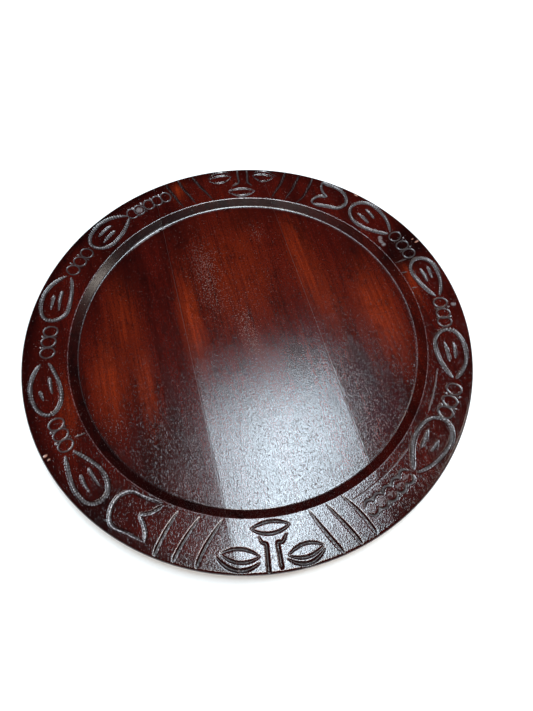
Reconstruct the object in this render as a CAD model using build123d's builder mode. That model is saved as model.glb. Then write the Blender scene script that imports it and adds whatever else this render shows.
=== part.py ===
from build123d import *
import os
from math import cos, radians, sin

# A round divination tray, turned on a lathe from one panel of three boards
# glued edge to edge. A flat rim surrounds a shallow sunk field, and a sloping
# wall joins the two. All sizes are millimetres. +Z is up, the origin is the
# centre of the underside, and -Y is the side nearest the user.

# Turned disc
tray_diameter = 350.0
tray_thickness = 20.0
rim_width = 35.6          # flat band, from the outer edge to the wall's top edge
rim_fall = 0.5            # the band drops this much towards the outer edge
rim_edge_radius = 2.0     # rounding between the band and the outer side
base_edge_radius = 2.0    # rounding between the underside and the outer side
side_draft = 1.0          # the outer side leans in by this much at the underside

# Sunk field
field_depth = 4.7         # the wall's top edge to the field's surface
wall_run = 6.1            # how far the wall slopes in on its way down
wall_lip_radius = 1.6     # rounded top edge of the wall
wall_foot_radius = 2.2    # hollow where the wall meets the field

# Glued panel. Each joint's angle is its line's lean from +Y towards -X.
left_joint_offset = 47.5
left_joint_angle = 12.0
right_joint_offset = 55.8
right_joint_angle = 13.5
glue_thickness = 0.2

# Worked out from the sizes above
disc_radius = tray_diameter / 2
lip_radius_from_axis = disc_radius - rim_width
foot_radius_from_axis = lip_radius_from_axis - wall_run
rim_edge_height = tray_thickness - rim_fall
field_height = tray_thickness - field_depth


def corner(sketch, x, z):
    """The sketch's vertex nearest to a point of the half section, x from the axis and z up."""
    return sketch.vertices().sort_by_distance((x, z))[0]


def joint_plane(side, offset, angle, across):
    """
    An upright plane along a glue joint, facing away from the middle board.

    side is -1 for the left joint and +1 for the right one, offset is the
    joint's distance from the tray's axis, and across moves the plane outwards
    from the middle of the glue line.
    """
    lean = radians(angle)
    outwards = Vector(side * cos(lean), side * sin(lean), 0)
    return Plane(origin=outwards * (offset + across), z_dir=outwards)


# The half section that the lathe cuts: underside, leaning side, rounded rim
# edge, rim band, rounded lip, sloping wall, hollow foot and level field.
with BuildPart() as turned_panel:
    with BuildSketch(Plane.XZ) as half_section:
        with BuildLine():
            Polyline(
                (0, 0),
                (disc_radius - side_draft, 0),
                (disc_radius, rim_edge_height),
                (lip_radius_from_axis, tray_thickness),
                (foot_radius_from_axis, field_height),
                (0, field_height),
                close=True,
            )
        make_face()
        fillet(corner(half_section, disc_radius - side_draft, 0), base_edge_radius)
        fillet(corner(half_section, disc_radius, rim_edge_height), rim_edge_radius)
        fillet(corner(half_section, lip_radius_from_axis, tray_thickness), wall_lip_radius)
        fillet(corner(half_section, foot_radius_from_axis, field_height), wall_foot_radius)
    revolve(axis=Axis.Z)

# Where the glue meets each board
half_glue = glue_thickness / 2
left_outer = joint_plane(-1, left_joint_offset, left_joint_angle, half_glue)
left_inner = joint_plane(-1, left_joint_offset, left_joint_angle, -half_glue)
right_outer = joint_plane(1, right_joint_offset, right_joint_angle, half_glue)
right_inner = joint_plane(1, right_joint_offset, right_joint_angle, -half_glue)

# The boards: each keeps its own stretch of the turned section
with BuildPart() as board_left:
    add(turned_panel.part)
    split(bisect_by=left_outer, keep=Keep.TOP)

with BuildPart() as board_middle:
    add(turned_panel.part)
    split(bisect_by=left_inner, keep=Keep.BOTTOM)
    split(bisect_by=right_inner, keep=Keep.BOTTOM)

with BuildPart() as board_right:
    add(turned_panel.part)
    split(bisect_by=right_outer, keep=Keep.TOP)

# The dried glue, which was turned with the boards and shows as a thin line
with BuildPart() as glue_line_left:
    add(turned_panel.part)
    split(bisect_by=left_outer, keep=Keep.BOTTOM)
    split(bisect_by=left_inner, keep=Keep.TOP)

with BuildPart() as glue_line_right:
    add(turned_panel.part)
    split(bisect_by=right_outer, keep=Keep.BOTTOM)
    split(bisect_by=right_inner, keep=Keep.TOP)

pieces = {
    "board_left": board_left,
    "board_middle": board_middle,
    "board_right": board_right,
    "glue_line_left": glue_line_left,
    "glue_line_right": glue_line_right,
}

os.makedirs("parts", exist_ok=True)
for name, piece in pieces.items():
    piece.part.label = name
    export_step(piece.part, f"parts/{name}.step")
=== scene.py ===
"""The looks of a round divination tray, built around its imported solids.

The tray is one turned disc of three glued boards. Its flat rim carries hand-cut figures: two
faces, crescents, cowrie shells, chains of rings and sheaves of straight cuts. Every length is in
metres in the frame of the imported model: +Z up, the near face towards -Y.
"""

import logging
import math
from collections.abc import Sequence
from dataclasses import dataclass, field, replace
from enum import Enum

import bmesh
import bpy
import numpy as np
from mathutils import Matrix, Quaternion, Vector


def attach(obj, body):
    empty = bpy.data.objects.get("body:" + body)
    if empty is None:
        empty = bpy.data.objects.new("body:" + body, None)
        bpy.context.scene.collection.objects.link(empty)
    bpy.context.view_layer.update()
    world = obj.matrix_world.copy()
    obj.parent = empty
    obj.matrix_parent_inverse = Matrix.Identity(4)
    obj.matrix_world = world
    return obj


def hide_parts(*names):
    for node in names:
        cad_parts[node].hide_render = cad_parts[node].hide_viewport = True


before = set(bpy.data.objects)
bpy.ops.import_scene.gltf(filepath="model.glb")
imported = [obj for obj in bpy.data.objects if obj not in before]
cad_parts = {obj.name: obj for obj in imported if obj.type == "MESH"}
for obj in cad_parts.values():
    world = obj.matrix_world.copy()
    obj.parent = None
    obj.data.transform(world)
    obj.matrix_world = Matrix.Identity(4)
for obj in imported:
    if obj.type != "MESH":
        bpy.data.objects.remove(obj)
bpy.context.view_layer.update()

log = logging.getLogger("tray")

MM = 0.001
FULL_TURN = 2 * math.pi
START = 0.25


# Curves and grids


def smooth_through(points: np.ndarray, per_span: int = 8) -> np.ndarray:
    """A smooth open curve through a few points.

    Each span is a Catmull-Rom cubic: its ends are two of the points, and its slope at each is half
    the chord between the neighbours on either side. The end slopes use a mirrored neighbour.

    Args:
        points: the points to pass through, one per row.
        per_span: how many steps each span is drawn in.

    Returns:
        The curve's points, one per row, ends included.
    """
    ends = np.vstack([2 * points[0] - points[1], points, 2 * points[-1] - points[-2]])
    before, start, stop, after = ends[:-3], ends[1:-2], ends[2:-1], ends[3:]
    t = np.linspace(0, 1, per_span, endpoint=False)[:, None, None]
    spans = 0.5 * (
        2 * start
        + (stop - before) * t
        + (2 * before - 5 * start + 4 * stop - after) * t**2
        + (3 * (start - stop) + after - before) * t**3
    )
    curve = spans.transpose(1, 0, 2).reshape(-1, points.shape[1])
    return np.vstack([curve, points[-1]])


def on_rim(degrees: np.ndarray, share: np.ndarray, radius: float) -> np.ndarray:
    """Plan points from degrees round the rim, counted from START, and shares of a radius."""
    turn = np.radians(np.asarray(degrees, float) + START)
    out = np.asarray(share, float) * radius
    return np.column_stack([out * np.cos(turn), out * np.sin(turn)])


def rim_curve(places: Sequence[tuple[float, float]], radius: float) -> np.ndarray:
    """A smooth plan curve through places given as (degrees, share of the radius)."""
    rows = smooth_through(np.array(places, float))
    return on_rim(rows[:, 0], rows[:, 1], radius)


# The turned form


@dataclass(frozen=True)
class Corner:
    """A corner of the half section: distance from the axis, height, rounding and its steps."""

    out: float
    height: float
    rounding: float = 0.0
    steps: int = 1


@dataclass(frozen=True)
class Ring:
    """One circle of mesh points: its radius, its height and how many columns it has."""

    out: float
    height: float
    columns: int


@dataclass(frozen=True)
class TurnedForm:
    """The half section that the lathe cuts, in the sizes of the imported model."""

    radius: float = 174.96 * MM
    thickness: float = 20.0 * MM
    rim_width: float = 35.6 * MM
    rim_fall: float = 0.5 * MM
    rim_edge_rounding: float = 2.0 * MM
    base_edge_rounding: float = 2.0 * MM
    side_draft: float = 1.0 * MM
    field_depth: float = 4.7 * MM
    wall_run: float = 6.1 * MM
    lip_rounding: float = 1.6 * MM
    foot_rounding: float = 2.2 * MM
    rim_columns: int = 1920
    field_columns: int = 480
    hub_columns: int = 96
    pole_columns: int = 24
    base_columns: int = 240
    carved_radius: float = 173.6 * MM
    hub_radius: float = 30.0 * MM
    pole_radius: float = 6.0 * MM

    @property
    def lip(self) -> float:
        """Distance from the axis to the wall's top edge."""
        return self.radius - self.rim_width

    @property
    def foot(self) -> float:
        """Distance from the axis to where the wall meets the field."""
        return self.lip - self.wall_run

    @property
    def field_height(self) -> float:
        """Height of the field's surface."""
        return self.thickness - self.field_depth

    def corners(self) -> list[Corner]:
        """The half section's corners, from the field's centre over the rim to the underside."""
        return [
            Corner(0.0, self.field_height),
            Corner(self.foot, self.field_height, self.foot_rounding, 5),
            Corner(self.lip, self.thickness, self.lip_rounding, 5),
            Corner(self.radius, self.thickness - self.rim_fall, self.rim_edge_rounding, 7),
            Corner(self.radius - self.side_draft, 0.0, self.base_edge_rounding, 4),
            Corner(0.0, 0.0),
        ]

    def columns_at(self, out: float, height: float) -> int:
        """How many columns a ring has: many on the carved rim, fewer towards the poles."""
        if out > self.foot - self.foot_rounding:
            return self.rim_columns
        if height < self.field_height / 2:
            return self.base_columns if out > self.hub_radius else self.pole_columns
        if out > self.hub_radius:
            return self.field_columns
        return self.hub_columns if out > self.pole_radius else self.pole_columns

    def rings(self) -> list[Ring]:
        """The mesh's rings along the half section, poles left out.

        Straight stretches are stepped evenly, close on the carved rim. A rounded corner is an arc:
        it touches both stretches at rounding times the tangent of half the turn from the corner.
        """
        steps = [1.5 * MM, 0.8 * MM, 0.42 * MM, 3.4 * MM, 24.0 * MM]
        corners = self.corners()
        places = np.array([[c.out, c.height] for c in corners])
        runs = np.diff(places, axis=0)
        ways = runs / np.linalg.norm(runs, axis=1)[:, None]
        rows = []
        start = places[0]
        for i, step in enumerate(steps):
            corner = corners[i + 1]
            turn = 0.0
            reach = 0.0
            if corner.rounding:
                turn = math.acos(np.clip(ways[i] @ ways[i + 1], -1, 1))
                reach = corner.rounding * math.tan(turn / 2)
            stop = places[i + 1] - ways[i] * reach
            count = max(1, round(np.linalg.norm(stop - start) / step))
            along = np.linspace(0, 1, count, endpoint=False)[:, None]
            rows.append(start + (stop - start) * along)
            if corner.rounding:
                across = np.array([-ways[i][1], ways[i][0]])
                side = math.copysign(1, across @ ways[i + 1])
                swing = np.linspace(0, turn, corner.steps, endpoint=False)[:, None]
                bow = np.sin(swing) * ways[i] + side * (1 - np.cos(swing)) * across
                rows.append(stop + corner.rounding * bow)
                start = places[i + 1] + ways[i + 1] * reach
            else:
                start = places[i + 1]
        points = np.vstack(rows)[1:]
        return [Ring(out, high, self.columns_at(out, high)) for out, high in points]


@dataclass
class Shell:
    """A closed surface as arrays: points, and faces grouped by how many corners they have."""

    points: np.ndarray
    faces: list[np.ndarray]


def turned_shell(form: TurnedForm) -> Shell:
    """The whole disc as one closed shell of revolution.

    Ring i has its points at angle 2 pi j / columns. Neighbouring rings with the same count are
    joined by four-cornered faces. Where the count drops by a whole ratio k, one column of the
    coarser ring meets k columns of the finer one in a single face of k + 3 corners. The poles are
    closed by fans of triangles.

    Args:
        form: the half section and its steps.

    Returns:
        The shell, with its faces pointing outwards.
    """
    rings = form.rings()
    starts = np.cumsum([0] + [r.columns for r in rings])
    points = []
    for ring in rings:
        turn = FULL_TURN * np.arange(ring.columns) / ring.columns
        flat = np.full(ring.columns, ring.height)
        points.append(np.column_stack([ring.out * np.cos(turn), ring.out * np.sin(turn), flat]))
    top_pole, base_pole = starts[-1], starts[-1] + 1
    points.append(np.array([[0.0, 0.0, form.field_height], [0.0, 0.0, 0.0]]))
    faces = []
    for i in range(len(rings) - 1):
        n, m = rings[i].columns, rings[i + 1].columns
        if n == m:
            j = np.arange(n)
            k = (j + 1) % n
            a, b = starts[i], starts[i + 1]
            faces.append(np.column_stack([a + j, b + j, b + k, a + k]))
        elif m > n:
            ratio = m // n
            j = np.arange(n)
            fine = (ratio * j[:, None] + np.arange(ratio + 1)) % m
            inner = starts[i] + np.column_stack([(j + 1) % n, j])
            faces.append(np.column_stack([inner, starts[i + 1] + fine]))
        else:
            ratio = n // m
            j = np.arange(m)
            fine = (ratio * j[:, None] + np.arange(ratio, -1, -1)) % n
            inner = starts[i + 1] + np.column_stack([j, (j + 1) % m])
            faces.append(np.column_stack([inner, starts[i] + fine]))
    j = np.arange(rings[0].columns)
    k = (j + 1) % rings[0].columns
    faces.append(np.column_stack([np.full_like(j, top_pole), starts[0] + j, starts[0] + k]))
    j = np.arange(rings[-1].columns)
    k = (j + 1) % rings[-1].columns
    last = starts[len(rings) - 1]
    faces.append(np.column_stack([last + j, np.full_like(j, base_pole), last + k]))
    return Shell(np.vstack(points), faces)


def mesh_of(name: str, points: np.ndarray, faces: Sequence[np.ndarray]) -> bpy.types.Mesh:
    """A mesh from whole arrays of points and of faces with any number of corners."""
    mesh = bpy.data.meshes.new(name)
    corners = np.concatenate([f.ravel() for f in faces]).astype(np.int32)
    totals = np.concatenate([np.full(len(f), f.shape[1]) for f in faces])
    starts = np.concatenate([[0], np.cumsum(totals)[:-1]]).astype(np.int32)
    mesh.vertices.add(len(points))
    mesh.vertices.foreach_set("co", points.astype(np.float32).ravel())
    mesh.loops.add(len(corners))
    mesh.loops.foreach_set("vertex_index", corners)
    mesh.polygons.add(len(totals))
    mesh.polygons.foreach_set("loop_start", starts)
    mesh.update(calc_edges=True)
    return mesh


# The glued panel


@dataclass(frozen=True)
class GlueJoint:
    """An upright glue line: its side, its distance from the axis and its lean from +Y to -X."""

    side: int
    offset: float
    lean: float

    @property
    def outwards(self) -> np.ndarray:
        """Unit plan direction away from the middle board."""
        lean = math.radians(self.lean)
        return self.side * np.array([math.cos(lean), math.sin(lean)])


@dataclass(frozen=True)
class Cut:
    """A saw cut: it keeps what lies at most reach along the plan direction way."""

    way: tuple[float, float]
    reach: float


def cut_from(shell: Shell, name: str, cuts: Sequence[Cut], lines: Sequence[Cut]) -> bpy.types.Mesh:
    """The part of a closed shell that a few upright cuts leave, closed again at each cut.

    Args:
        shell: the closed surface to cut.
        name: the mesh's name.
        cuts: the upright planes, each keeping its near side.
        lines: upright planes where the mesh only gets a line of edges.

    Returns:
        A closed mesh whose cut faces are flat and have sharp borders.
    """
    beyond = [shell.points[:, :2] @ np.array(c.way) - c.reach for c in cuts]
    kept = []
    for group in shell.faces:
        inside = np.ones(len(group), bool)
        for gap in beyond:
            inside &= gap[group].min(axis=1) < 0
        kept.append(group[inside])
    kept = [group for group in kept if len(group)]
    used, packed = np.unique(np.concatenate([g.ravel() for g in kept]), return_inverse=True)
    sizes = np.cumsum([0] + [g.size for g in kept])
    faces = [packed[a:b].reshape(g.shape) for g, a, b in zip(kept, sizes[:-1], sizes[1:])]
    mesh = mesh_of(name, shell.points[used], faces)
    bm = bmesh.new()
    bm.from_mesh(mesh)
    for line in lines:
        way = Vector((*line.way, 0.0))
        whole = bm.verts[:] + bm.edges[:] + bm.faces[:]
        bmesh.ops.bisect_plane(bm, geom=whole, dist=1e-7, plane_co=way * line.reach, plane_no=way)
    for cut in cuts:
        way = Vector((*cut.way, 0.0))
        whole = bm.verts[:] + bm.edges[:] + bm.faces[:]
        bmesh.ops.bisect_plane(
            bm, geom=whole, dist=1e-7, plane_co=way * cut.reach, plane_no=way, clear_outer=True
        )
        border = [e for e in bm.edges if e.is_boundary]
        at_cut = [e for e in border if all(abs(v.co.dot(way) - cut.reach) < 1e-6 for v in e.verts)]
        caps = bmesh.ops.holes_fill(bm, edges=at_cut, sides=0)["faces"]
        for edge in at_cut:
            edge.smooth = False
        for cap in caps:
            cap.normal_update()
            if cap.normal.dot(way) < 0:
                cap.normal_flip()
            cap.smooth = False
        bmesh.ops.triangulate(bm, faces=caps)
    bm.to_mesh(mesh)
    bm.free()
    return mesh


# What the knife cuts


class Profile(Enum):
    """The section of a cut, as the depth's share at a distance from its centre line."""

    HOLLOW = "round gouge: one less the square of the distance"
    VEE = "parting tool: one less the distance"


@dataclass
class KnifeCut:
    """One cut of the knife, seen in plan.

    The painted glint is how much glint colour is painted on the cut's floor, from 0 to 1: a painted
    highlight. The painted edge glint is the same for a fine painted highlight along the left of the
    cut's middle, or along its right when it is below nothing.
    """

    path: np.ndarray
    width: float
    depth: float
    profile: Profile = Profile.HOLLOW
    taper: tuple[float, float] = (0.1, 0.1)
    chatter: float = 0.0
    pitch: float = 1.9 * MM
    # Painted glint on the cut's floor, and a painted highlight along one edge of it.
    painted_glint: float = 0.0
    painted_edge_glint: float = 0.0
    dulled: float = 0.4

    def marks_at(self, places: np.ndarray) -> tuple[np.ndarray, np.ndarray, np.ndarray]:
        """How deep the cut is and how much glint is painted on it at each plan place.

        The nearest point of the path gives the distance d and the run s along it. The width w and
        the depth grow from nothing over the taper at each end as the root of the share of the run.
        The chatter lets them breathe as a cosine of s, whose pitch wanders slowly. The depth is
        the profile of 2 d / w. The painted glint is two bright lines, halfway out from the middle, that
        take turns at being the brighter as s grows, and it is least where the chatter bites.

        Args:
            places: plan points, one per row.

        Returns:
            The depth, the painted glint and the dulling at each place, nothing outside the cut.
        """
        deep, wear_and_painted_glint, dulled = np.zeros((3, len(places)))
        margin = self.width * 0.75
        low, high = self.path.min(axis=0) - margin, self.path.max(axis=0) + margin
        near = np.flatnonzero(np.all((places > low) & (places < high), axis=1))
        if not len(near):
            return deep, wear_and_painted_glint, dulled
        start, run = self.path[:-1], np.diff(self.path, axis=0)
        length = np.maximum(np.linalg.norm(run, axis=1), 1e-9)
        before = np.concatenate([[0.0], np.cumsum(length)[:-1]])
        reach = places[near][:, None, :] - start[None]
        share = np.clip((reach * run).sum(axis=2) / length**2, 0, 1)
        gap = np.linalg.norm(reach - share[..., None] * run, axis=2)
        best = gap.argmin(axis=1)
        rows = np.arange(len(near))
        along = before[best] + share[rows, best] * length[best]
        total = length.sum()
        lead = np.clip(along / max(self.taper[0] * total, 1e-6), 0, 1)
        trail = np.clip((total - along) / max(self.taper[1] * total, 1e-6), 0, 1)
        full = np.sqrt(lead * trail)
        swing = along / self.pitch + 0.35 * np.sin(along / (1.7 * self.pitch))
        bite = 0.5 + 0.5 * np.cos(FULL_TURN * swing)
        wide = self.width * (0.25 + 0.75 * full) * (1 - 0.3 * self.chatter * bite)
        off = 2 * gap[rows, best] / wide
        section = np.clip(1 - off**2 if self.profile is Profile.HOLLOW else 1 - off, 0, 1)
        deep[near] = section * self.depth * full * (1 - self.chatter * bite)
        run, reach = run[best], reach[rows, best]
        side = np.sign(run[:, 0] * reach[:, 1] - run[:, 1] * reach[:, 0])
        # Painted glints: two bright lines on the cut's floor, and a fine painted highlight beside its middle.
        lines = np.exp(-(((off - 0.45) / 0.17) ** 2))
        turns = 0.52 + 0.48 * side * np.sin(FULL_TURN * along / (11 * self.pitch) + 400 * self.path[0, 0])
        floor = np.clip(0.1 * np.clip(3 * (0.8 - off), 0, 1) + lines * turns, 0, 1)
        edge = np.exp(-(((off * side * np.sign(self.painted_edge_glint) - 0.55) / 0.2) ** 2))
        painted_glint_colour = self.painted_glint * floor * (1 - 1.9 * self.chatter * bite) + abs(self.painted_edge_glint) * edge
        wear_and_painted_glint[near] = painted_glint_colour * np.clip(2 * full, 0, 1)
        inner, most = (0.3, self.dulled) if self.profile is Profile.HOLLOW else (0.84, 0.85)
        dulled[near] = most * np.clip(5 * (section - inner), 0, 1)
        return deep, wear_and_painted_glint, dulled


@dataclass(frozen=True)
class Cowrie:
    """A cowrie shell: two arms from a tip round to a blunt back, and two slits inside.

    Places are degrees round the rim and shares of the disc's radius. An arm leaves the tip as
    the sine of a quarter turn times the run's share to the power of rise, and goes from its
    crest to the back as a quarter of an ellipse.
    """

    tip: float
    back: float
    mouths: tuple[float, float]
    outer_crest: tuple[float, float]
    inner_crest: tuple[float, float]
    slits: tuple[tuple[float, float, float, float], ...]
    rise: float = 0.85
    width: float = 3.8 * MM
    depth: float = 1.1 * MM
    chatter: float = 0.45
    # How strongly glint is painted on the shell's cuts.
    painted_glint: float = 1.0

    def arm(self, mouth: float, crest: tuple[float, float], radius: float) -> np.ndarray:
        """The plan path of one arm, from the tip over its crest to the back."""
        middle = (self.outer_crest[1] + self.inner_crest[1]) / 2
        run = np.linspace(0, 1, 24, endpoint=False)
        lift = np.sin(math.pi / 2 * run**self.rise)
        there = [self.tip + (crest[0] - self.tip) * run, mouth + (crest[1] - mouth) * lift]
        turn = np.linspace(0, math.pi / 2, 20)
        home = [
            crest[0] + (self.back - crest[0]) * np.sin(turn),
            middle + (crest[1] - middle) * np.cos(turn),
        ]
        degrees, share = np.hstack([there, home])
        return on_rim(degrees, share, radius)

    def cuts(self, radius: float) -> list[KnifeCut]:
        """The shell's two arms and its slits as cuts."""
        arms = zip(self.mouths, (self.outer_crest, self.inner_crest))
        made = []
        for mouth, crest in arms:
            path = self.arm(mouth, crest, radius)
            cut = KnifeCut(path, self.width, self.depth, taper=(0.12, 0.001))
            made.append(replace(cut, chatter=self.chatter, painted_glint=self.painted_glint))
        for a, b, c, d in self.slits:
            path = rim_curve(((a, b), ((a + c) / 2, (b + d) / 2 + 0.002), (c, d)), radius)
            cut = KnifeCut(path, 3.1 * MM, 1.0 * MM, taper=(0.15, 0.45), chatter=0.3)
            made.append(replace(cut, painted_glint=self.painted_glint))
        return made


@dataclass(frozen=True)
class RingChain:
    """A chain of small rings, each touching the next, cut round their centres.

    The button is how strongly the glint colour is painted inside each ring, from 0 to 1.
    """

    centres: tuple[tuple[float, float], ...]
    across: float = 4.4 * MM
    outwards: float = 5.5 * MM
    width: float = 1.6 * MM
    depth: float = 0.4 * MM
    painted_glint: float = 0.12
    button: float = 0.0

    def cuts(self, radius: float) -> list[KnifeCut]:
        """An oval for each ring, with nicks outside and in where neighbours meet, and painted glints."""
        made = []
        turn = np.linspace(0, FULL_TURN, 49)
        for degrees, share in self.centres:
            middle = on_rim(np.array([degrees]), np.array([share]), radius)[0]
            out = middle / np.linalg.norm(middle)
            side = np.array([-out[1], out[0]])
            path = middle + self.across * np.outer(np.cos(turn), side)
            path = path + self.outwards * np.outer(np.sin(turn), out)
            cut = KnifeCut(path, self.width, self.depth, taper=(0.001, 0.001), dulled=0.42)
            if self.button:
                # Each ring as two arcs, each with a painted highlight along one edge.
                halves = [replace(cut, path=path[a:b], taper=(0.4, 0.4)) for a, b in ((3, 22), (27, 46))]
                made.extend(replace(half, painted_edge_glint=0.45) for half in halves)
            else:
                made.append(replace(cut, painted_glint=self.painted_glint))
            if self.button:
                # A dab of painted glint colour inside each ring.
                reach = np.outer((-0.5, 0.5), out) * MM
                dab = KnifeCut(middle + reach, 7.0 * MM, 0.0, taper=(0.001, 0.001))
                made.append(replace(dab, painted_glint=self.button))
        for one, other in zip(self.centres, self.centres[1:]):
            middle = (np.array(one) + np.array(other)) / 2
            # Painted glints where neighbours meet: bright in the outer nicks, faint in the inner ones.
            for way, deep, bright in ((1, 0.9 * MM, 8.0), (-1, 0.5 * MM, 0.5)):
                ends = middle[1] + way * np.array([3.4, 6.4]) * MM / radius
                path = on_rim(np.full(2, middle[0]), ends, radius)
                nick = KnifeCut(path, 2.4 * MM, deep, Profile.VEE, (0.6, 0.3))
                made.append(replace(nick, painted_glint=self.painted_glint * bright))
        return made


@dataclass(frozen=True)
class Gouge:
    """A straight cut across the rim: its outer and inner degrees, its bow and its inner end."""

    outer: float
    inner: float
    bow: float
    inner_share: float = 0.81
    outer_share: float = 1.0
    width: float = 3.2 * MM
    depth: float = 1.25 * MM
    painted_glint: float = 0.0
    painted_edge_glint: float = 0.0

    def cuts(self, radius: float) -> list[KnifeCut]:
        """The cut, whose degrees change as the share of its run to the power of the bow."""
        run = np.linspace(0, 1, 24)
        degrees = self.outer + (self.inner - self.outer) * run**self.bow
        share = self.outer_share + (self.inner_share - self.outer_share) * run
        path = on_rim(degrees, share, radius)
        cut = KnifeCut(path, self.width, self.depth, Profile.VEE, taper=(0.12, 0.55))
        return [replace(cut, painted_glint=self.painted_glint, painted_edge_glint=self.painted_edge_glint)]


@dataclass(frozen=True)
class Line:
    """A free cut through a few places, given as degrees and shares."""

    places: tuple[tuple[float, float], ...]
    width: float = 2.0 * MM
    depth: float = 0.9 * MM
    taper: tuple[float, float] = (0.3, 0.3)
    chatter: float = 0.0
    painted_glint: float = 0.0
    painted_edge_glint: float = 0.0
    dulled: float = 0.4
    profile: Profile = Profile.HOLLOW

    def cuts(self, radius: float) -> list[KnifeCut]:
        """The cut along the smooth curve through the places."""
        path = rim_curve(self.places, radius)
        cut = KnifeCut(path, self.width, self.depth, self.profile, self.taper, self.chatter)
        return [replace(cut, painted_glint=self.painted_glint, painted_edge_glint=self.painted_edge_glint, dulled=self.dulled)]


@dataclass(frozen=True)
class Bow:
    """A cut from one place to another that swells out to a crest, as a parabola of its run."""

    start: tuple[float, float]
    stop: tuple[float, float]
    crest: float
    width: float = 2.1 * MM
    depth: float = 1.1 * MM
    painted_glint: float = 0.0

    def cuts(self, radius: float) -> list[KnifeCut]:
        """The bowed cut, thin at both ends."""
        run = np.linspace(0, 1, 24)
        degrees = self.start[0] + (self.stop[0] - self.start[0]) * run
        chord = self.start[1] + (self.stop[1] - self.start[1]) * run
        swell = self.crest - (self.start[1] + self.stop[1]) / 2
        path = on_rim(degrees, chord + swell * 4 * run * (1 - run), radius)
        cut = KnifeCut(path, self.width, self.depth, Profile.VEE, taper=(0.3, 0.3))
        return [replace(cut, painted_glint=self.painted_glint)]


@dataclass(frozen=True)
class Almond:
    """A leaf-shaped eye or mouth: two bows between the same two corners."""

    start: tuple[float, float]
    stop: tuple[float, float]
    crests: tuple[float, float]
    width: float = 2.1 * MM
    depth: float = 1.1 * MM
    painted_glint: float = 0.0

    def cuts(self, radius: float) -> list[KnifeCut]:
        """The almond's two bows."""
        sizes = (self.width, self.depth, self.painted_glint)
        bows = [Bow(self.start, self.stop, crest, *sizes) for crest in self.crests]
        return [cut for bow in bows for cut in bow.cuts(radius)]


Motif = Cowrie | RingChain | Gouge | Line | Bow | Almond

COWRIES = (
    Cowrie(
        10.7, 24.8, (0.921, 0.902), (20.4, 0.974), (20.2, 0.853),
        ((17, 0.929, 21.3, 0.94), (16.3, 0.90, 21.3, 0.90)),
    ),
    Cowrie(
        37.1, 52.5, (0.914, 0.900), (47.6, 0.985), (46.6, 0.836),
        ((44.1, 0.924, 48.5, 0.941), (44.4, 0.88, 49.6, 0.893)),
    ),
    Cowrie(
        129.7, 144.8, (0.92, 0.906), (137.6, 0.98), (139.6, 0.839),
        ((135.7, 0.931, 141.1, 0.928), (136.1, 0.892, 141.9, 0.882)),
    ),
    Cowrie(
        157.4, 172.8, (0.922, 0.900), (165.4, 0.979), (169.0, 0.841),
        ((164.5, 0.931, 169.3, 0.919), (162.5, 0.905, 169.3, 0.883)),
    ),
    Cowrie(
        186.6, 202.1, (0.919, 0.887), (194.8, 0.97), (196.4, 0.844),
        ((194.5, 0.929, 197.6, 0.921), (191.2, 0.883, 196.4, 0.881)),
    ),
    Cowrie(
        214.4, 229.8, (0.921, 0.885), (226.0, 0.973), (223.4, 0.845),
        ((221.0, 0.916, 226.0, 0.935), (221.0, 0.876, 226.8, 0.892)), rise=1.1,
    ),
    Cowrie(
        314.8, 331.4, (0.924, 0.911), (326.4, 0.977), (324.6, 0.838),
        ((321.6, 0.924, 325.4, 0.929), (321.0, 0.883, 326.6, 0.873)),
    ),
    Cowrie(
        344.0, 359.3, (0.93, 0.918), (351.4, 0.976), (353.8, 0.839),
        ((350.2, 0.929, 355.2, 0.921), (348.9, 0.90, 355.2, 0.88)),
    ),
)

RING_CHAINS = (
    RingChain(((1.85, 0.902), (4.6, 0.907), (8.3, 0.911)), painted_glint=0.05),
    RingChain(((27.6, 0.904), (31.1, 0.907), (35.0, 0.914)), depth=0.4 * MM, painted_glint=0.06),
    RingChain(
        ((115.9, 0.917), (118.9, 0.917), (121.9, 0.917), (125.4, 0.915), (128.0, 0.917)), painted_glint=0.34
    ),
    RingChain(((147.8, 0.91), (151.3, 0.91), (154.8, 0.912))),
    RingChain(((176.4, 0.892), (179.8, 0.893), (183.3, 0.893))),
    RingChain(((205.4, 0.899), (208.7, 0.899), (212.0, 0.9))),
    RingChain(
        ((300.0, 0.905), (302.9, 0.905), (306.0, 0.906), (309.1, 0.905), (312.2, 0.905)),
        width=2.6 * MM, depth=0.95 * MM, painted_glint=0.04, button=0.22,
    ),
    RingChain(((333.5, 0.914), (337.0, 0.92), (340.8, 0.928)), depth=0.5 * MM, painted_glint=0.05),
)

# Painted glints on the floors of the far gouges, and a fine painted highlight beside the middle of the near ones.
GOUGES = (
    Gouge(68.2, 70.3, 4.0, painted_glint=0.22),
    Gouge(72.4, 74.7, 1.8, painted_glint=0.22),
    Gouge(76.7, 79.7, 1.6, painted_glint=0.22),
    Gouge(105.5, 100.9, 1.3, painted_glint=0.22),
    Gouge(110.0, 107.2, 1.5, painted_glint=0.22),
    Gouge(113.7, 111.9, 2.0, painted_glint=0.22),
    Gouge(247.1, 248.6, 2.6, 0.815, painted_edge_glint=-1.0),
    Gouge(251.5, 254.7, 1.7, 0.815, painted_edge_glint=-1.0),
    Gouge(256.7, 261.0, 1.8, painted_edge_glint=-0.9),
    Gouge(289.0, 284.7, 1.05, painted_edge_glint=1.0),
    Gouge(293.4, 289.8, 1.4, painted_edge_glint=1.0),
    Gouge(297.4, 294.7, 2.3, 0.805, 0.996, painted_edge_glint=1.0),
)

# Painted glints on the crescents' floors; the fine crescents also get a painted highlight along one edge.
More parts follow.
